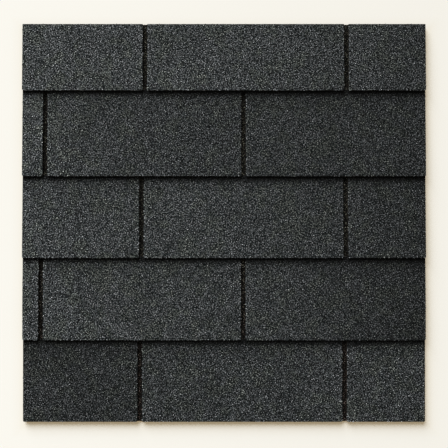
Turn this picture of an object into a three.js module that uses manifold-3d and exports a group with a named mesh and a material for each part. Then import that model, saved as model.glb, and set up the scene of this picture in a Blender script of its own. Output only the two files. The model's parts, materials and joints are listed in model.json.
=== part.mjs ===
/**
 * Square panel of three-tab asphalt roof shingles, laid as on a roof and trimmed flush.
 *
 * A starter strip lies flat along the bottom edge. Five courses lie over it. Each course is one
 * strip whose lower part is cut into tabs by narrow slots. Its tabs rest on the strip below it
 * and its head comes down to the ground, so every strip lies at a slight tilt, and the next
 * course covers the tops of its slots. A broken line of sealant above the slots glues down the
 * tabs of that next course. What reaches past the top edge is trimmed away there.
 *
 * Millimetres. +X along the courses, +Y from the first course to the last, +Z out of the face.
 * The origin is on the ground, below the middle of the panel.
 */
import * as THREE from 'three';
import { mergeVertices } from 'three/addons/utils/BufferGeometryUtils.js';
import Module from 'manifold-3d';

const wasm = await Module();
wasm.setup();

// The panel, trimmed on all four sides
const PANEL_WIDTH = 610;

// One strip, from its butt (lower edge) to its head (upper edge)
const STRIP_DEPTH = 305;
const STRIP_THICKNESS = 3.2;
const STARTER_DEPTH = 178;

// The slots between the tabs, which are open at the butt and round at the top
const SLOT_WIDTH = 7;
const SLOT_DEPTH = 132;
const SLOT_TOP_RADIUS = 2.5;
const TAB_CORNER_RADIUS = 2;

// The sealant: a line of flat dashes with round ends, some way above the tops of the slots,
// four to a tab, with a break over the first slot
const SEAL_PITCH = 76;
const SEAL_LENGTH = 60;
const SEAL_WIDTH = 12;
const SEAL_HEIGHT = 0.2;
const SEAL_ABOVE_SLOT = 5;

// The lay-up, from the first course up: from each butt to the next one's, and from the last
// butt to the trimmed top edge. The crowns of the granules hold the strips a little apart.
const EXPOSURES = [124.5, 124.5, 123.5, 129.5];
const TOP_COURSE_DEPTH = 101;
const LAP_CLEARANCE = 0.4;

// From the panel's left edge to the left slot and to the right slot of each course. They are
// one tab (about 305) apart, and half a tab on from those of the course below.
const LEFT_SLOT_OFFSETS = [177, 27.5, 180, 34.5, 185.5];
const RIGHT_SLOT_OFFSETS = [488, 334, 489, 334.5, 490];

// Fineness of the small arcs, and how far a cutting body reaches past what it cuts
const ARC_SEGMENTS = 4;
const CUT_MARGIN = 5;

const PANEL_DEPTH = EXPOSURES.reduce((depth, exposure) => depth + exposure, TOP_COURSE_DEPTH);
const LAP_RISE = STRIP_THICKNESS + LAP_CLEARANCE;
const PILE_HEIGHT = (EXPOSURES.length + 2) * LAP_RISE; // more than the panel is high

const X_AXIS = new THREE.Vector3(1, 0, 0);
const Y_AXIS = new THREE.Vector3(0, 1, 0);
const Z_AXIS = new THREE.Vector3(0, 0, 1);

const GRANULES = { color: 0x3b3d3d, roughness: 0.95, metalness: 0 };
const STARTER_GRANULES = { color: 0x2a2826, roughness: 0.95, metalness: 0 };

/** Height of a line of (station, height) points at one station, run on straight past its ends. */
function heightAt(line, station) {
  let next = 1;
  while (next < line.length - 1 && line[next].x < station) next += 1;
  const from = line[next - 1];
  const to = line[next];
  return from.y + ((to.y - from.y) * (station - from.x)) / (to.x - from.x);
}

/**
 * Underside of a full-depth strip whose butt lies the given exposure above the butt of the
 * strip below. It follows that strip's face, and past it comes down to the ground at its head.
 * Both lines hold (station, height) points, with stations counted from the strip's own butt.
 */
function laidOver(below, exposure) {
  const face = below.map((point) => new THREE.Vector2(point.x - exposure, point.y + LAP_RISE));
  return [
    new THREE.Vector2(0, heightAt(face, 0)),
    ...face.filter((point) => point.x > 0),
    new THREE.Vector2(STRIP_DEPTH, 0),
  ];
}

/** A closed geometry as a solid that can be cut. */
function solidOf(geometry) {
  geometry.deleteAttribute('normal');
  geometry.deleteAttribute('uv');
  const { attributes, index } = mergeVertices(geometry);
  return new wasm.Manifold(
    new wasm.Mesh({
      numProp: 3,
      vertProperties: attributes.position.array,
      triVerts: new Uint32Array(index.array),
    }),
  );
}

/**
 * A layer between two heights above that underside, trimmed to the given depth from the butt:
 * its side profile, run across the panel, and cut to the plan of a strip that has no slots.
 */
function layer(underside, depth, low, high) {
  const bends = underside.map((point) => point.x).filter((y) => y > 0 && y < depth);
  const stations = [-CUT_MARGIN, ...bends, depth + CUT_MARGIN];
  const lineAt = (height) =>
    stations.map((y) => new THREE.Vector2(y, heightAt(underside, y) + height));
  const profile = new THREE.Shape([...lineAt(low), ...lineAt(high).reverse()]);
  const width = PANEL_WIDTH + 2 * CUT_MARGIN;
  const band = new THREE.ExtrudeGeometry(profile, { depth: width, bevelEnabled: false });
  band.translate(0, 0, -width / 2);
  band.applyMatrix4(new THREE.Matrix4().makeBasis(Y_AXIS, Z_AXIS, X_AXIS)); // run along X
  return solidOf(band).intersect(upright(blankOutline(depth)));
}

/** A plan outline as an upright cutting body that reaches through the whole lay-up. */
function upright(outline) {
  const body = new THREE.ExtrudeGeometry(outline, {
    depth: PILE_HEIGHT + 2 * CUT_MARGIN,
    curveSegments: ARC_SEGMENTS,
    bevelEnabled: false,
  });
  body.translate(0, 0, -CUT_MARGIN);
  return solidOf(body);
}

/** Plan of a strip before its slots are cut, with the two corners of its butt rounded. */
function blankOutline(depth) {
  const side = PANEL_WIDTH / 2;
  const corner = side - TAB_CORNER_RADIUS;
  const outline = new THREE.Shape();
  outline.moveTo(side, depth);
  outline.lineTo(-side, depth);
  outline.absarc(-corner, TAB_CORNER_RADIUS, TAB_CORNER_RADIUS, Math.PI, 1.5 * Math.PI);
  outline.absarc(corner, TAB_CORNER_RADIUS, TAB_CORNER_RADIUS, 1.5 * Math.PI, 2 * Math.PI);
  return outline;
}

/** Plan of one slot, with its mouth flared by the rounded corners of the tabs beside it. */
function slotOutline(centre) {
  const side = SLOT_WIDTH / 2;
  const mouth = side + TAB_CORNER_RADIUS;
  const topSide = side - SLOT_TOP_RADIUS;
  const top = SLOT_DEPTH - SLOT_TOP_RADIUS;
  const outline = new THREE.Shape();
  outline.moveTo(centre - mouth, -CUT_MARGIN);
  outline.lineTo(centre + mouth, -CUT_MARGIN);
  outline.absarc(
    centre + mouth, TAB_CORNER_RADIUS, TAB_CORNER_RADIUS, 1.5 * Math.PI, Math.PI, true,
  );
  outline.absarc(centre + topSide, top, SLOT_TOP_RADIUS, 0, 0.5 * Math.PI);
  outline.absarc(centre - topSide, top, SLOT_TOP_RADIUS, 0.5 * Math.PI, Math.PI);
  outline.absarc(
    centre - mouth, TAB_CORNER_RADIUS, TAB_CORNER_RADIUS, 0, 1.5 * Math.PI, true,
  );
  return outline;
}

/** Plan of one dash of sealant. */
function sealOutline(centre) {
  const end = SEAL_WIDTH / 2;
  const reach = SEAL_LENGTH / 2 - end;
  const middle = SLOT_DEPTH + SEAL_ABOVE_SLOT + end;
  const outline = new THREE.Shape();
  outline.absarc(centre + reach, middle, end, -0.5 * Math.PI, 0.5 * Math.PI);
  outline.absarc(centre - reach, middle, end, 0.5 * Math.PI, 1.5 * Math.PI);
  return outline;
}

/** A course trimmed to the given depth: one solid for each piece that its slots leave it in. */
function coursePieces(underside, depth, slots) {
  const side = PANEL_WIDTH / 2;
  const rooted = STRIP_THICKNESS / 2; // the dashes are one with the strip from here up
  const sealLayer = layer(underside, depth, rooted, STRIP_THICKNESS + SEAL_HEIGHT);
  let strip = layer(underside, depth, 0, STRIP_THICKNESS);
  for (const slot of slots) strip = strip.subtract(upright(slotOutline(slot - side)));
  for (let x = (slots[0] + SEAL_PITCH / 2) % SEAL_PITCH; x < PANEL_WIDTH; x += SEAL_PITCH) {
    strip = strip.add(sealLayer.intersect(upright(sealOutline(x - side))));
  }
  return strip.decompose().sort((a, b) => a.boundingBox().min[0] - b.boundingBox().min[0]);
}

/** A solid as a named mesh whose butt lies at the given distance from the panel's bottom edge. */
function meshOf(solid, name, finish, butt) {
  const { vertProperties, triVerts } = solid.getMesh();
  const geometry = new THREE.BufferGeometry();
  geometry.setAttribute('position', new THREE.BufferAttribute(vertProperties, 3));
  geometry.setIndex(new THREE.BufferAttribute(triVerts, 1));
  geometry.computeVertexNormals();
  const mesh = new THREE.Mesh(geometry, new THREE.MeshStandardMaterial(finish));
  mesh.name = name;
  mesh.position.y = butt;
  return mesh;
}

const panel = new THREE.Group();
panel.position.y = -PANEL_DEPTH / 2;

const starterBack = [new THREE.Vector2(0, 0), new THREE.Vector2(STARTER_DEPTH, 0)];
const starter = layer(starterBack, STARTER_DEPTH, 0, STRIP_THICKNESS);
panel.add(meshOf(starter, 'starter_strip', STARTER_GRANULES, 0));

let butt = 0;
let underside = starterBack;
[0, ...EXPOSURES].forEach((exposure, course) => {
  butt += exposure;
  underside = laidOver(underside, exposure);
  const depth = Math.min(STRIP_DEPTH, PANEL_DEPTH - butt);
  const slots = [LEFT_SLOT_OFFSETS[course], RIGHT_SLOT_OFFSETS[course]];
  const pieces = coursePieces(underside, depth, slots);
  pieces.forEach((piece, i) => {
    const kind = pieces.length > 1 ? `tab_${i + 1}` : 'strip';
    panel.add(meshOf(piece, `course_${course + 1}_${kind}`, GRANULES, butt));
  });
});

export default panel;
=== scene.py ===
import json
import math

import bpy
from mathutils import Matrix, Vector

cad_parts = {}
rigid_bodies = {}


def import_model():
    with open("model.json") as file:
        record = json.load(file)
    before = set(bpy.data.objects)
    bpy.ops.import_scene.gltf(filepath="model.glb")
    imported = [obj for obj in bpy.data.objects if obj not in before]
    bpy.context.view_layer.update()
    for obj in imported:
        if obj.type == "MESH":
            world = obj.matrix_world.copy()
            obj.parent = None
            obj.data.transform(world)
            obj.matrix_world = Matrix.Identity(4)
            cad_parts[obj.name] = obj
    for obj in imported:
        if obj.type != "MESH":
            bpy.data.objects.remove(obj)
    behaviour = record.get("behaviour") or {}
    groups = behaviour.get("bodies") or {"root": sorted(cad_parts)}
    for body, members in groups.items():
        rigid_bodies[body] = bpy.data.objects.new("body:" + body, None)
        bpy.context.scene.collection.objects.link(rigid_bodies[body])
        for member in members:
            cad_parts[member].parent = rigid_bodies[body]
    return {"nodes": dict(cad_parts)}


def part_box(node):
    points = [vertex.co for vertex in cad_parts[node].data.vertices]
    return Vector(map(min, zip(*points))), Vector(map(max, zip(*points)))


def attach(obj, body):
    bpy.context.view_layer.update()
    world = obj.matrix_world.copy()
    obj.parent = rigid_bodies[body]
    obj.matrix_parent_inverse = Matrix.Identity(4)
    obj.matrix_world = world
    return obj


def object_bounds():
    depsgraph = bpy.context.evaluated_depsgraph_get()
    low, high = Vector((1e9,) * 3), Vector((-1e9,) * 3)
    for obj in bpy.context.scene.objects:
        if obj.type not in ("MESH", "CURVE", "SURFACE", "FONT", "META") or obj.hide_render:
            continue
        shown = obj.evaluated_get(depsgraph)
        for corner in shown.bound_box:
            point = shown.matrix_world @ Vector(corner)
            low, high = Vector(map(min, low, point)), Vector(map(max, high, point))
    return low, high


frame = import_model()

cad_low, cad_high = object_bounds()
nodes = frame["nodes"]


# --- Granules ----------------------------------------------------------------------------
# The stones that armour every strip: crushed rock in a fired ceramic coat, sieved to about
# 1.5 mm. A hopper drops them on the hot asphalt and a roller presses their feet into it.
# A few shapes are made here, and the sections below bed thousands of copies of them.

STONE_REACH = 0.0008
STONE_HEIGHT = 0.00064
STONE_SUNK = 0.00034
STONE_ROUGHNESS = 0.00034
STONE_CORNERS = [3, 4, 3, 4, 3, 3, 4, 3, 3]  # of each shape, seen from above


def crush(number, corners):
    """One stone: a chip with a broad top, on a point, with its corners knocked about."""
    bpy.ops.object.select_all(action="DESELECT")
    bpy.ops.mesh.primitive_cone_add(
        vertices=corners,
        radius1=0,
        radius2=STONE_REACH,
        depth=STONE_HEIGHT,
        location=(0, 0, STONE_HEIGHT / 2 - STONE_SUNK),
    )
    stone = bpy.context.object
    stone.name = f"stone_shape_{number}"
    bpy.ops.object.transform_apply(location=True, rotation=True, scale=True)
    bpy.ops.object.mode_set(mode="EDIT")
    bpy.ops.mesh.select_all(action="SELECT")
    bpy.ops.transform.vertex_random(
        offset=STONE_ROUGHNESS, uniform=1, normal=0, seed=11 * number + 3
    )
    bpy.ops.mesh.quads_convert_to_tris()
    bpy.ops.mesh.normals_make_consistent(inside=False)
    bpy.ops.object.mode_set(mode="OBJECT")
    return stone


hopper = bpy.data.collections.new("hopper")
bpy.context.scene.collection.children.link(hopper)
for number, corners in enumerate(STONE_CORNERS):
    stone = crush(number, corners)
    for holder in list(stone.users_collection):
        holder.objects.unlink(stone)
    hopper.objects.link(stone)


# --- Starter strip -----------------------------------------------------------------------
# A plain strip of asphalt-soaked glass mat, laid along the eave so that the slots of the
# first course have something under them. Its face has stones like every other strip, its
# back has sand, and its cut edges show black asphalt and the pale line of the mat.

starter_low, starter_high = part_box("starter_strip")  # it lies flat
STRIP_THICKNESS = starter_high.z - starter_low.z
STONE_SPACING = 0.00106
STONES_TRIED = 5.0e6  # per square metre, of which the spacing leaves about one in ten
STONE_SIZES = (0.72, 1.18)
STONE_TILT = 0.22  # radians, to each side
BARE_EDGE = 0.0009  # at most; the die leaves some stones hanging over a cut edge
NEAR_SIDE = 0.004  # an edge this near to one of the panel's own sides is that side
ON_SIDE = 0.0001  # a corner this near to a strip's left side is one of that side's
HIGH_UP = 0.03  # above every strip
FACE_UP = 0.9  # the least height of a unit normal on the face
MAP_MARGIN = 0.001  # round the strips on the flat map that the stones are baked on

# the light stones of a well-mixed blend keep apart, and the darker ones lie round them
LIGHT_SPACING = 0.0024
LIGHTS_TRIED = 1.0e6
WELL_MIXED = 0.72  # of a stone's shade, and the rest is chance
LIGHT_REACH = 0.45  # squared, as a share of the spacing

# painted shadow below each butt, which darkens the stones beside it: how much of their
# own colour they keep at some distances from it, and how much further the painted shadow
# reaches in the panel's right half than at its left side
BUTT_SHADOW = [
    (0.0, 0.12),
    (0.003, 0.15),
    (0.006, 0.32),
    (0.009, 0.62),
    (0.012, 0.78),
    (0.018, 0.88),
    (0.03, 0.97),
    (0.036, 1.0),
]
BUTT_SHADOW_REACH = BUTT_SHADOW[-1][0]
BUTT_SHADOW_CREEP = 0.0012
SHADOW_CREEP_GROWS = (-0.2, 0.0)  # from no creep to all of it, along the panel

# the stones beside a slot are lighter, partly as the new faces of stones that the die broke
# and partly as a painted highlight on the rim, stronger on the tab to the slot's right,
# which faces the light: all of them up to the first distance, and none past the second
FRESH_AND_LIT_TO = (0.0012, 0.0034)
FRESH_AND_LIT_TONES = (1.36, 1.58)  # on the tab to the slot's left, and on the one to its right

ASPHALT = (0.0062, 0.006, 0.0058, 1)
ASPHALT_DUST = (0.028, 0.027, 0.025, 1)
SEALANT = (0.004, 0.004, 0.0042, 1)
BACK_SAND = (0.085, 0.078, 0.066, 1)
GLASS_MAT = (0.2, 0.17, 0.12, 1)
# dark partly as asphalt-soaked dust and partly as painted shade in the hollows between the
# stones
FINES_TONE = 0.2  # of the dust of stones that is left between them
SEALANT_RISE = (0.00008, 0.00014)  # where it starts above the strip's face
MAT_HALF = (0.00015, 0.00045)  # from the middle of the thickness to where the mat ends
TAPE = (0.13, 0.156)  # from the butt to the two edges of the release tape on the back
TAPE_EDGE = 0.0005
TAPE_SHARE = 0.45  # of the sand that shows no more under it

STONE_ROUGH = (0.6, 0.85)
STONE_SHINE = 0.05
STRIP_ROUGH = (0.7, 0.92)
STRIP_SHINE = 0.06
TORN_RELIEF = 0.6  # as a share of that of the fines
FILLED_RELIEF = 0.8  # how much of its relief the strip loses under sealant or tape
FILLED_GLOSS = 0.4  # and how much of its roughness

# how fine each pattern is, in spots to a metre, the span that a noise fills, and how much
# a drift or a speck dims and lightens the stones
DRIFTS = 16.0
BATCHES = 50.0
BREAKS = 600.0
FINES = 900.0
TEARS = 900.0
FIBRES = 2200.0
SAND_GRAINS = 2600.0
SPECKS = 2600.0
PITS = 3400.0
NOISE_SPAN = (0.3, 0.7)
DRIFT_TONES = (0.96, 1.04)
SPECK_TONES = (0.85, 1.15)

# between which values of a noise, of a cell's distance or of a unit normal's height one
# thing passes into the next
BATCHES_MEET = (0.35, 0.65)
EDGE_BREAKS = (0.38, 0.62)
FINES_END = (0.42, 0.62)
DUST_STARTS = (0.5, 0.75)
FIBRES_SHOW = (0.4, 0.65)
SAND_ENDS = (0.3, 0.55)
FACE_STARTS = (0.4, 0.6)
BACK_STARTS = (-0.4, -0.6)

# the colours from the darkest to the lightest of the coated stones, on the face that is
# left bare, and of the plain waste stones on the head, which the next course covers. The
# coat's cast goes by batch, and the waste is rusty low on the panel and olive higher up.
FACE_BLEND = [
    (0.0, (0.0045, 0.006, 0.0065)),
    (0.25, (0.022, 0.028, 0.0295)),
    (0.4, (0.064, 0.075, 0.0775)),
    (0.65, (0.159, 0.17, 0.1735)),
    (0.85, (0.334, 0.345, 0.351)),
    (1.0, (0.595, 0.6, 0.608)),
]
HEAD_BLEND = [
    (0.0, (0.003, 0.0028, 0.0021)),
    (0.55, (0.0108, 0.0095, 0.0073)),
    (0.8, (0.058, 0.049, 0.037)),
    (0.93, (0.19, 0.167, 0.128)),
    (1.0, (0.43, 0.385, 0.31)),
]
BLENDS_MEET = (0.001, 0.004)  # past the line up to which a strip stays bare
COAT_CASTS = [(0.95, 1.005, 0.8, 1), (0.99, 0.98, 1.2, 1)]  # olive and blue
COAT_CAST_SHARE = 0.5
WASTE_CASTS = [(1.0, 0.84, 0.92, 1), (0.92, 1.0, 0.98, 1)]  # rusty and olive
WASTES_MEET = (-0.3, 0.0)


class Bench:
    """A node tree being laid out, with short words for the nodes that it takes most."""

    def __init__(self, tree):
        self.tree = tree

    def put(self, kind, settings=None, **sockets):
        """A node with its sockets fed by name, or by number as in _0."""
        made = self.tree.nodes.new(kind)
        for name, value in (settings or {}).items():
            setattr(made, name, value)
        for name, value in sockets.items():
            key = int(name[1:]) if name[0] == "_" else name.replace("_", " ")
            self.feed(made.inputs[key], value)
        return made

    def feed(self, socket, value):
        if hasattr(value, "is_output"):
            self.tree.links.new(value, socket)
        else:
            socket.default_value = value

    def sum(self, how, a, b=0.0):
        return self.put("ShaderNodeMath", {"operation": how}, _0=a, _1=b).outputs[0]

    def product(self, first, *others):
        for other in others:
            first = self.sum("MULTIPLY", first, other)
        return first

    def ease(self, value, low, high, to_low=0.0, to_high=1.0, smooth=True):
        """The value mapped from one span to another, and held past its ends."""
        kind = "SMOOTHSTEP" if smooth else "LINEAR"
        settings = {"interpolation_type": kind, "clamp": True}
        return self.put(
            "ShaderNodeMapRange", settings, _0=value, _1=low, _2=high, _3=to_low, _4=to_high
        ).outputs[0]

    def mix(self, share, a, b, how="MIX"):
        settings = {"data_type": "RGBA", "blend_type": how, "clamp_result": True}
        return self.put("ShaderNodeMix", settings, _0=share, _6=a, _7=b).outputs[2]

    def dim(self, colour, tone):
        grey = self.put("ShaderNodeCombineColor", _0=tone, _1=tone, _2=tone)
        return self.mix(1.0, colour, grey.outputs[0], "MULTIPLY")

    def ramp(self, value, stops):
        made = self.put("ShaderNodeValToRGB", Fac=value)
        while len(made.color_ramp.elements) < len(stops):
            made.color_ramp.elements.new(0.5)
        for element, (place, colour) in zip(made.color_ramp.elements, stops):
            element.position = place
            element.color = (*colour, 1)
        return made.outputs[0]

    def noise(self, place, scale, detail=2.0):
        made = self.put("ShaderNodeTexNoise", Vector=place, Scale=scale, Detail=detail)
        return made.outputs["Fac"]

    def axes(self, place):
        return self.put("ShaderNodeSeparateXYZ", Vector=place).outputs

    def coat(self, colour, rough, shine, height, depth, strength):
        """Ends a material: its colour, its gloss, and a relief of some depth."""
        bump = self.put("ShaderNodeBump", Strength=strength, Distance=depth, Height=height)
        skin = self.put(
            "ShaderNodeBsdfPrincipled",
            Base_Color=colour,
            Roughness=rough,
            Specular_IOR_Level=shine,
            Normal=bump.outputs[0],
        )
        self.put("ShaderNodeOutputMaterial", Surface=skin.outputs[0])


def new_finish(name):
    finish = bpy.data.materials.new(name)
    finish.use_nodes = True
    finish.node_tree.nodes.clear()
    return finish, Bench(finish.node_tree)


def painted_butt_shadow(bench, place, distance):
    """Painted shadow below a butt: what share of its own colour a stone keeps at some distance
    from the nearest butt.
    """
    creep = bench.ease(bench.axes(place)[0], *SHADOW_CREEP_GROWS, 0.0, BUTT_SHADOW_CREEP)
    distance = bench.sum("SUBTRACT", distance, creep)
    stops = [(at / BUTT_SHADOW_REACH, (share,) * 3) for at, share in BUTT_SHADOW]
    return bench.ramp(bench.ease(distance, 0.0, BUTT_SHADOW_REACH, smooth=False), stops)


def tone_and_falloff_along(bench, place, tones):
    """How light the stones are along a strip: listed tones that hold real shade differences and
    painted light falling off to the right, with some drift from the mixer.
    """
    x = bench.ease(bench.axes(place)[0], cad_low.x, cad_high.x, smooth=False)
    run = cad_high.x - cad_low.x
    halves = [(at / run, (tone / 2,) * 3) for at, tone in tones]  # a ramp ends at 1
    drift = bench.ease(bench.noise(place, DRIFTS, 1.0), *NOISE_SPAN, *DRIFT_TONES)
    return bench.product(bench.ramp(x, halves), 2.0, drift)


def waste_colour(bench, shade, y):
    """The colour of a waste stone of some shade, some way up the panel."""
    cast = bench.mix(bench.ease(y, *WASTES_MEET), *WASTE_CASTS)
    return bench.mix(1.0, bench.ramp(shade, HEAD_BLEND), cast, "MULTIPLY")


def stone_finish(name, head_line, tones):
    """Ceramic-coated stones: a blend of black, charcoal and grey, brown above the head line."""
    finish, bench = new_finish(name)
    place = bench.put("ShaderNodeTexCoord").outputs["Object"]
    shade, from_butt, from_slot, slot_side = (
        bench.put("ShaderNodeAttribute", {"attribute_name": kind}).outputs["Fac"]
        for kind in ("shade", "from_butt", "from_slot", "slot_side")
    )
    y = bench.axes(place)[1]
    on_head = bench.ease(y, *(head_line + step for step in BLENDS_MEET))
    colour = bench.mix(on_head, bench.ramp(shade, FACE_BLEND), waste_colour(bench, shade, y))
    batch = bench.ease(bench.noise(place, BATCHES), *BATCHES_MEET)
    cast = bench.mix(batch, *COAT_CASTS)
    colour = bench.mix(COAT_CAST_SHARE, colour, cast, "MULTIPLY")
    speck = bench.noise(place, SPECKS)
    # lighter beside a slot: newly broken faces, and a painted highlight that is stronger to the
    # slot's right
    fresh_and_lit = bench.ease(slot_side, -1.0, 1.0, *FRESH_AND_LIT_TONES)
    # painted light falling off to the right, with the real drift and specks of the blend
    tone = bench.product(
        tone_and_falloff_along(bench, place, tones),
        bench.ease(speck, *NOISE_SPAN, *SPECK_TONES),
        # painted shadow below each butt
        painted_butt_shadow(bench, place, from_butt),
        bench.ease(from_slot, *FRESH_AND_LIT_TO, fresh_and_lit, 1.0),
    )
    bench.coat(
        bench.dim(colour, tone),
        rough=bench.ease(speck, *NOISE_SPAN, *STONE_ROUGH),
        shine=STONE_SHINE,
        height=bench.noise(place, PITS, 3.0),
        depth=0.00012,
        strength=0.35,
    )
    return finish


def back_height(bench, node, y):
    """The height of a strip's back at each station along Y, read off its left side."""
    back = {}
    left_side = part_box(node)[0].x + ON_SIDE
    for corner in nodes[node].data.vertices:
        if corner.co.x < left_side:
            station = round(corner.co.y, 4)
            back[station] = min(corner.co.z, back.get(station, 1.0))
    bends = sorted(back.items())
    height = bends[0][1]
    for (start, low), (end, high) in zip(bends, bends[1:]):
        climb = bench.ease(y, start, end, 0.0, high - low, smooth=False)
        height = bench.sum("ADD", height, climb)
    return height


def strip_finish(node, head_line, tones):
    """The strip itself: bitumen and dust between the stones, cut edges, and a sanded back."""
    finish, bench = new_finish(node)
    coords = bench.put("ShaderNodeTexCoord")
    place, facing = coords.outputs["Object"], coords.outputs["Normal"]
    up = bench.axes(facing)[2]
    _, y, z = bench.axes(place)
    rise = bench.sum("SUBTRACT", z, back_height(bench, node, y))
    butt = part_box(node)[0].y

    # the face: fines pressed into the asphalt, on which the stones stand
    cells = bench.put("ShaderNodeTexVoronoi", Vector=place, Scale=FINES).outputs
    grain = bench.put("ShaderNodeSeparateColor", Color=cells["Color"]).outputs[0]
    from_butt = bench.sum("SUBTRACT", head_line, y)
    # painted light falling off to the right, painted shadow below each butt, and painted shade
    # in the hollows between the stones darken the fines
    tone = bench.product(
        tone_and_falloff_along(bench, place, tones), painted_butt_shadow(bench, place, from_butt), FINES_TONE
    )
    fines = bench.dim(bench.ramp(grain, FACE_BLEND), tone)
    on_head = bench.ease(y, head_line, head_line + BLENDS_MEET[1])
    face = bench.mix(on_head, fines, waste_colour(bench, grain, y))
    face = bench.mix(bench.ease(cells["Distance"], *FINES_END), face, ASPHALT)

    # the sealant: black dashes that stand proud of the head, glossy where they were melted on
    sealed = bench.ease(rise, *(STRIP_THICKNESS + step for step in SEALANT_RISE))
    face = bench.mix(sealed, face, SEALANT)

    # the cut edges: asphalt torn by the die, with the mat's pale fibres at half thickness
    torn = bench.noise(place, TEARS, 4.0)
    edge = bench.mix(bench.ease(torn, *DUST_STARTS), ASPHALT, ASPHALT_DUST)
    off_middle = bench.sum("ABSOLUTE", bench.sum("SUBTRACT", rise, STRIP_THICKNESS / 2))
    mat_line = bench.ease(off_middle, *MAT_HALF, 1.0, 0.0)
    frayed = bench.ease(bench.noise(place, FIBRES, 3.0), *FIBRES_SHOW)
    edge = bench.mix(bench.product(mat_line, frayed), edge, GLASS_MAT)

    # the back: sand in asphalt, under clear release tape behind the sealant
    sand = bench.put("ShaderNodeTexVoronoi", Vector=place, Scale=SAND_GRAINS).outputs
    back = bench.mix(bench.ease(sand["Distance"], *SAND_ENDS), BACK_SAND, ASPHALT)
    near, far = (butt + side for side in TAPE)
    past_near = bench.ease(y, near, near + TAPE_EDGE)
    before_far = bench.ease(y, far, far - TAPE_EDGE)
    taped = bench.product(past_near, before_far)
    back = bench.mix(bench.product(taped, TAPE_SHARE), back, ASPHALT)

    under = bench.ease(up, *BACK_STARTS)
    colour = bench.mix(bench.ease(up, *FACE_STARTS), edge, face)
    colour = bench.mix(under, colour, back)
    smooth_parts = bench.sum("MAXIMUM", sealed, bench.product(taped, under))
    rugged = bench.sum("SUBTRACT", 1.0, bench.product(smooth_parts, FILLED_RELIEF))
    height = bench.sum("SUBTRACT", 1.0, cells["Distance"])
    height = bench.sum("ADD", height, bench.product(torn, TORN_RELIEF))
    rough = bench.ease(torn, *NOISE_SPAN, *STRIP_ROUGH)
    bench.coat(
        colour,
        rough=bench.sum("SUBTRACT", rough, bench.product(smooth_parts, FILLED_GLOSS)),
        shine=STRIP_SHINE,
        height=bench.product(height, rugged),
        depth=0.0005,
        strength=0.7,
    )
    return finish


def scatter(bench, face, spacing, tried, seed):
    """Points strewn on a face at random, none nearer to the next than the spacing."""
    return bench.put(
        "GeometryNodeDistributePointsOnFaces",
        {"distribute_method": "POISSON"},
        Mesh=face,
        Distance_Min=spacing,
        Density_Max=tried,
        Seed=seed,
    ).outputs[0]


def brush_off(bench, stones, where):
    return bench.put(
        "GeometryNodeDeleteGeometry", {"domain": "POINT"}, Geometry=stones, Selection=where
    ).outputs[0]


def keep_note(bench, stones, name, value, kind="FLOAT", domain="POINT"):
    """Writes a value on each stone, for its finish to read."""
    settings = {"data_type": kind, "domain": domain}
    return bench.put(
        "GeometryNodeStoreNamedAttribute", settings, Geometry=stones, Name=name, Value=value
    ).outputs[0]


def edges_of(bench, mesh, chosen):
    return bench.put(
        "GeometryNodeSeparateGeometry", {"domain": "EDGE"}, Geometry=mesh, Selection=chosen
    ).outputs[0]


def nearest(bench, target, kind, place):
    """The nearest point of another thing, and how far off it is."""
    return bench.put(
        "GeometryNodeProximity", {"target_element": kind}, _0=target, Sample_Position=place
    ).outputs


def beside_slot(bench):
    """Whether an edge runs up the roof, and isn't one of the panel's own two sides."""
    ends = bench.put("GeometryNodeInputMeshEdgeVertices").outputs
    x, y, _ = bench.axes(ends["Position 1"])
    next_x, next_y, _ = bench.axes(ends["Position 2"])
    across = bench.sum("ABSOLUTE", bench.sum("SUBTRACT", x, next_x))
    up_roof = bench.sum("ABSOLUTE", bench.sum("SUBTRACT", y, next_y))
    inside = bench.sum("LESS_THAN", bench.sum("ABSOLUTE", x), cad_high.x - NEAR_SIDE)
    return bench.product(bench.sum("LESS_THAN", across, up_roof), inside)


def clear_edges(bench, stones, face, place):
    """Brushes stones off the cut edges, and notes where the others lie beside a slot."""
    sides = bench.put("GeometryNodeInputMeshEdgeNeighbors").outputs[0]
    on_rim = bench.put(
        "FunctionNodeCompare", {"data_type": "INT", "operation": "EQUAL"}, _2=sides, _3=1
    ).outputs[0]
    rims = edges_of(bench, face, on_rim)
    broken_off = bench.ease(bench.noise(place, BREAKS), *EDGE_BREAKS, 0.0, BARE_EDGE)
    from_rim = nearest(bench, rims, "EDGES", place)["Distance"]
    stones = brush_off(bench, stones, bench.sum("LESS_THAN", from_rim, broken_off))
    slot_edge = nearest(bench, edges_of(bench, rims, beside_slot(bench)), "EDGES", place)
    stones = keep_note(bench, stones, "from_slot", slot_edge["Distance"])
    edge_x = bench.axes(slot_edge["Position"])[0]
    side = bench.sum("SIGN", bench.sum("SUBTRACT", bench.axes(place)[0], edge_x))
    return keep_note(bench, stones, "slot_side", side)


def clear_laps(bench, stones, later, place):
    """Brushes off stones that a later strip covers, and notes how far it is to its butt."""
    if not later:
        return keep_note(bench, stones, "from_butt", BUTT_SHADOW_REACH)
    cover = bench.put("GeometryNodeJoinGeometry")
    for strip in later:
        laid = bench.put("GeometryNodeObjectInfo", Object=strip).outputs["Geometry"]
        bench.feed(cover.inputs[0], laid)
    covered = bench.put(
        "GeometryNodeRaycast",
        Target_Geometry=cover.outputs[0],
        Ray_Direction=(0, 0, 1),
        Ray_Length=HIGH_UP,
    ).outputs["Is Hit"]
    stones = brush_off(bench, stones, covered)
    from_butt = nearest(bench, cover.outputs[0], "FACES", place)["Distance"]
    return keep_note(bench, stones, "from_butt", from_butt)


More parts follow.
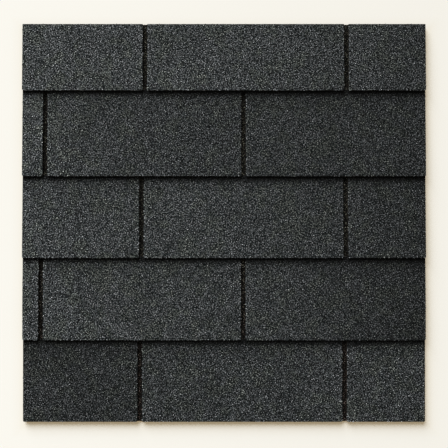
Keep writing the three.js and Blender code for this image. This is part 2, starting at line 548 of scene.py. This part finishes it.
def blend_stones(bench, stones, face, place, seed):
    """Notes each stone's shade: light ones apart, with charcoal and black ones round them."""
    lights = scatter(bench, face, LIGHT_SPACING, LIGHTS_TRIED, seed + 4)
    from_light = nearest(bench, lights, "POINTS", place)["Distance"]
    apart = bench.sum("DIVIDE", from_light, LIGHT_SPACING)
    apart = bench.product(apart, apart)
    mixed = bench.ease(apart, 0.0, LIGHT_REACH, WELL_MIXED, 0.0, smooth=False)
    chance = bench.put(
        "FunctionNodeRandomValue",
        {"data_type": "FLOAT"},
        _2=0.0,
        _3=1 - WELL_MIXED,
        _8=seed + 1,
    ).outputs[1]
    return keep_note(bench, stones, "shade", bench.sum("ADD", mixed, chance))


def set_stones(bench, stones, seed):
    """Sets a stone from the hopper down at each point, turned and sized at random."""
    shapes = bench.put(
        "GeometryNodeCollectionInfo", _0=hopper, Separate_Children=True, Reset_Children=True
    ).outputs[0]
    turn = bench.put(
        "FunctionNodeRandomValue",
        {"data_type": "FLOAT_VECTOR"},
        _0=(-STONE_TILT, -STONE_TILT, 0),
        _1=(STONE_TILT, STONE_TILT, 2 * math.pi),
        _8=seed + 2,
    ).outputs[0]
    smallest, largest = STONE_SIZES
    size = bench.put(
        "FunctionNodeRandomValue", {"data_type": "FLOAT"}, _2=smallest, _3=largest, _8=seed + 3
    ).outputs[1]
    bedded = bench.put(
        "GeometryNodeInstanceOnPoints",
        Points=stones,
        Instance=shapes,
        Pick_Instance=True,
        Rotation=bench.put("FunctionNodeEulerToRotation", Euler=turn).outputs[0],
        Scale=size,
    ).outputs[0]
    return bench.put("GeometryNodeRealizeInstances", Geometry=bedded).outputs[0]


def bedding(name, later, seed, low, high):
    """The geometry nodes that bed stones in a face wherever no later strip covers it."""
    tree = bpy.data.node_groups.new(name, "GeometryNodeTree")
    tree.interface.new_socket(name="Face", in_out="INPUT", socket_type="NodeSocketGeometry")
    tree.interface.new_socket(name="Stones", in_out="OUTPUT", socket_type="NodeSocketGeometry")
    bench = Bench(tree)
    face = bench.put("NodeGroupInput").outputs[0]
    place = bench.put("GeometryNodeInputPosition").outputs[0]
    stones = scatter(bench, face, STONE_SPACING, STONES_TRIED, seed)
    stones = clear_edges(bench, stones, face, place)
    stones = clear_laps(bench, stones, later, place)
    stones = blend_stones(bench, stones, face, place, seed)
    stones = set_stones(bench, stones, seed)

    # with a flat map of the strip as seen from above, to bake their colours on
    from_above = bench.put(
        "ShaderNodeMapRange",
        {"data_type": "FLOAT_VECTOR"},
        _6=place,
        _7=(*low, 0),
        _8=(*high, 1),
    ).outputs[1]
    stones = keep_note(bench, stones, "OFBake", from_above, "FLOAT2", "CORNER")
    bench.put("NodeGroupOutput", _0=stones)
    return tree


def face_of(node):
    """The upward faces of a strip as a sheet of their own, for stones to be bedded in."""
    bpy.ops.object.select_all(action="DESELECT")
    sheet = bpy.data.objects.new(f"{node}_face", nodes[node].data.copy())
    bpy.context.scene.collection.objects.link(sheet)
    bpy.context.view_layer.objects.active = sheet
    sheet.select_set(True)
    bpy.ops.object.mode_set(mode="EDIT")
    bpy.ops.mesh.select_all(action="SELECT")
    bpy.ops.mesh.remove_doubles(threshold=1e-6)
    bpy.ops.mesh.select_mode(type="FACE")
    bpy.ops.mesh.select_all(action="DESELECT")
    bpy.ops.object.mode_set(mode="OBJECT")
    for polygon in sheet.data.polygons:
        polygon.select = polygon.normal.z < FACE_UP
    bpy.ops.object.mode_set(mode="EDIT")
    bpy.ops.mesh.delete(type="FACE")
    bpy.ops.object.mode_set(mode="OBJECT")
    return sheet


def bed_stones(name, strips, later, finish, seed):
    """The stones on the strips of one course, as one piece."""
    sheets = [face_of(strip) for strip in strips]
    bpy.ops.object.select_all(action="DESELECT")
    for sheet in sheets:
        sheet.select_set(True)
    piece = sheets[0]
    bpy.context.view_layer.objects.active = piece
    if len(sheets) > 1:
        bpy.ops.object.join()
    piece.name = name
    bottom, top = (corner.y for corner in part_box(strips[0]))
    low = (cad_low.x - MAP_MARGIN, bottom - MAP_MARGIN)
    high = (cad_high.x + MAP_MARGIN, top + MAP_MARGIN)
    piece.modifiers.new("bedding", "NODES").node_group = bedding(name, later, seed, low, high)
    bpy.ops.object.modifier_apply(modifier="bedding")
    piece.data.materials.clear()
    piece.data.materials.append(finish)
    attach(piece, "root")


def dress(node, finish):
    nodes[node].data.materials.clear()
    nodes[node].data.materials.append(finish)


COURSE_STRIPS = {
    "course_1": ["course_1_strip"],
    "course_2": ["course_2_strip"],
    "course_3": ["course_3_strip"],
    "course_4": ["course_4_strip"],
    "course_5": ["course_5_tab_1", "course_5_tab_2", "course_5_tab_3"],
}
ALL_COURSES = [nodes[strip] for strips in COURSE_STRIPS.values() for strip in strips]
STARTER_TONES = [(0.0, 0.8), (0.61, 0.8)]
STARTER_HEAD = -0.4  # below its butt, so the waste stones go all over it

dress("starter_strip", strip_finish("starter_strip", STARTER_HEAD, STARTER_TONES))
bed_stones(
    "starter_granules",
    ["starter_strip"],
    ALL_COURSES,
    stone_finish("starter stones", STARTER_HEAD, STARTER_TONES),
    seed=5,
)


# --- Courses 1 to 5 ------------------------------------------------------------------------
# The slotted strips, nailed through the head and glued down by their sealant, so that each
# course covers the head and the slot tops of the one below. Their stones come from one
# blend, some strips lighter or darker than others, and their colour is lighter towards the
# left as painted light falling off from the window.

# how light the stones are at some distances from a course's left end: partly real shade
# differences in the blend, such as the darker left tab of course 1, and partly painted
# light, falling off from the lit left side towards the right
COURSE_TONES_AND_FALLOFF = {
    "course_1": [(0.0, 0.75), (0.06, 0.67), (0.175, 0.68), (0.18, 0.87), (0.61, 0.85)],
    "course_2": [(0.0, 1.3), (0.1, 1.06), (0.27, 1.01), (0.61, 0.45)],
    "course_3": [(0.0, 1.25), (0.1, 1.1), (0.27, 1.06), (0.61, 0.55)],
    "course_4": [(0.0, 1.45), (0.1, 0.95), (0.61, 0.6)],
    "course_5": [(0.0, 1.4), (0.1, 1.23), (0.3, 1.17), (0.61, 0.76)],
}
NO_HEAD = 0.4  # past the top edge, where the last course is trimmed off

courses = list(COURSE_STRIPS)
for number, course in enumerate(courses, 1):
    strips, tones = COURSE_STRIPS[course], COURSE_TONES_AND_FALLOFF[course]
    later = [strip for next_course in courses[number:] for strip in COURSE_STRIPS[next_course]]
    head_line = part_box(later[0])[0].y if later else NO_HEAD
    for strip in strips:
        dress(strip, strip_finish(strip, head_line, tones))
    bed_stones(
        f"{course}_granules",
        strips,
        [nodes[strip] for strip in later],
        stone_finish(f"{course} stones", head_line, tones),
        seed=100 * number,
    )

for stone in list(hopper.objects):
    bpy.data.objects.remove(stone)
bpy.data.collections.remove(hopper)


# --- Floor -------------------------------------------------------------------------------
# A wide sheet of cream paper under the panel, with painted light falling off to the right
# and a painted warm shade along the panel's right and lower edges, where its shadow falls.
# It isn't part of the object.

FLOOR_SIDE = 30
PAPER = (0.675, 0.704, 0.723, 1)
PAPER_GLOW = (0.29, 0.235, 0.148, 1)
PAPER_REACH = 0.33
# painted light falling off across the paper
PAPER_FALLOFF = (1.044, 0.956)  # that far to the left of the middle, and to the right

# how the painted warm shade tints the paper at some distances from an area about the size
# of the panel, which lies a little to the right of it and below it, on its shadow sides
WARM_SHADE = [
    (0.0, (0.97, 0.925, 0.85)),
    (0.007, (0.97, 0.95, 0.91)),
    (0.012, (0.99, 0.98, 0.965)),
    (0.024, (1.0, 1.0, 1.0)),
]
WARM_SHADE_REACH = WARM_SHADE[-1][0]
WARM_SHADE_SHIFT = (-0.003, 0.006, 0.0)
WARM_SHADE_SIDES = (0.305, 0.2985)


def seen_directly(bench):
    """1 where the camera sees a thing, by itself or in gloss or glass, and 0 for its light."""
    path = bench.put("ShaderNodeLightPath").outputs
    seen = bench.sum("MAXIMUM", path["Is Camera Ray"], path["Is Glossy Ray"])
    return bench.sum("MAXIMUM", seen, path["Is Transmission Ray"])


bpy.ops.object.select_all(action="DESELECT")
bpy.ops.mesh.primitive_plane_add(size=FLOOR_SIDE, location=(0, 0, 0))
floor = bpy.context.object
floor.name = "floor"
finish, bench = new_finish("paper")
place = bench.put("ShaderNodeTexCoord").outputs["Object"]
x = bench.axes(place)[0]
# painted light: the paper darker towards the right
tone = bench.ease(x, -PAPER_REACH, PAPER_REACH, *PAPER_FALLOFF, smooth=False)
# painted warm shade on the paper round the panel's shadow sides
shifted = bench.put("ShaderNodeVectorMath", {"operation": "ADD"}, _0=place, _1=WARM_SHADE_SHIFT)
beyond = [
    bench.sum("SUBTRACT", bench.sum("ABSOLUTE", along), side)
    for along, side in zip(bench.axes(shifted.outputs[0]), WARM_SHADE_SIDES)
]
past_shaded_area = bench.ease(bench.sum("MAXIMUM", *beyond), 0.0, WARM_SHADE_REACH, smooth=False)
shade_tint = bench.ramp(past_shaded_area, [(at / WARM_SHADE_REACH, colour) for at, colour in WARM_SHADE])
shade = bench.dim(bench.mix(1.0, PAPER, shade_tint, "MULTIPLY"), tone)
paper = bench.put("ShaderNodeBsdfDiffuse", Color=shade)
shine = bench.mix(1.0, PAPER_GLOW, shade_tint, "MULTIPLY")
glow = bench.put("ShaderNodeEmission", Color=shine, Strength=seen_directly(bench))
both = bench.put("ShaderNodeAddShader", _0=paper.outputs[0], _1=glow.outputs[0])
bench.put("ShaderNodeOutputMaterial", Surface=both.outputs[0])
floor.data.materials.append(finish)


# --- Light -------------------------------------------------------------------------------
# One big soft window light from the upper left, and a warm fill from the room all round.
# What the camera sees of the room itself is a plain pale wall.

KEY_HEIGHT = math.radians(30)
KEY_TURN = math.radians(22)
KEY_SPREAD = math.radians(46)
KEY_STRENGTH = 5.25
KEY_COLOUR = (0.97, 0.985, 1.0)
FILL_STRENGTH = 0.15
FILL_COLOUR = (1, 0.93, 0.8, 1)
WALL_COLOUR = (0.93, 0.9, 0.83, 1)

world = bpy.data.worlds.new("room")
bpy.context.scene.world = world
world.use_nodes = True
world.node_tree.nodes.clear()
bench = Bench(world.node_tree)
fill = bench.put("ShaderNodeBackground", Color=FILL_COLOUR, Strength=FILL_STRENGTH)
wall = bench.put("ShaderNodeBackground", Color=WALL_COLOUR, Strength=1.0)
both = bench.put(
    "ShaderNodeMixShader", _0=seen_directly(bench), _1=fill.outputs[0], _2=wall.outputs[0]
)
bench.put("ShaderNodeOutputWorld", Surface=both.outputs[0])

lamp = bpy.data.lights.new("window", "SUN")
lamp.angle = KEY_SPREAD
lamp.energy = KEY_STRENGTH
lamp.color = KEY_COLOUR
window = bpy.data.objects.new("window", lamp)
bpy.context.scene.collection.objects.link(window)
towards = Vector(
    (
        -math.cos(KEY_HEIGHT) * math.sin(KEY_TURN),
        math.cos(KEY_HEIGHT) * math.cos(KEY_TURN),
        math.sin(KEY_HEIGHT),
    )
)
window.location = towards
window.rotation_mode = "QUATERNION"
window.rotation_quaternion = (-towards).to_track_quat("-Z", "Y")


# --- Camera ------------------------------------------------------------------------------
# A camera with a standard lens on a stand, looking straight down on the panel from just
# under a metre, a hair below its middle.

CAMERA_PLACE = (0, -0.0013, 0.951)
CAMERA_LENS = 50
CAMERA_SENSOR = 36

camera_data = bpy.data.cameras.new("camera")
camera_data.lens = CAMERA_LENS
camera_data.sensor_width = CAMERA_SENSOR
camera = bpy.data.objects.new("camera", camera_data)
bpy.context.scene.collection.objects.link(camera)
camera.location = CAMERA_PLACE
bpy.context.scene.camera = camera
bpy.context.scene.view_settings.view_transform = "Standard"
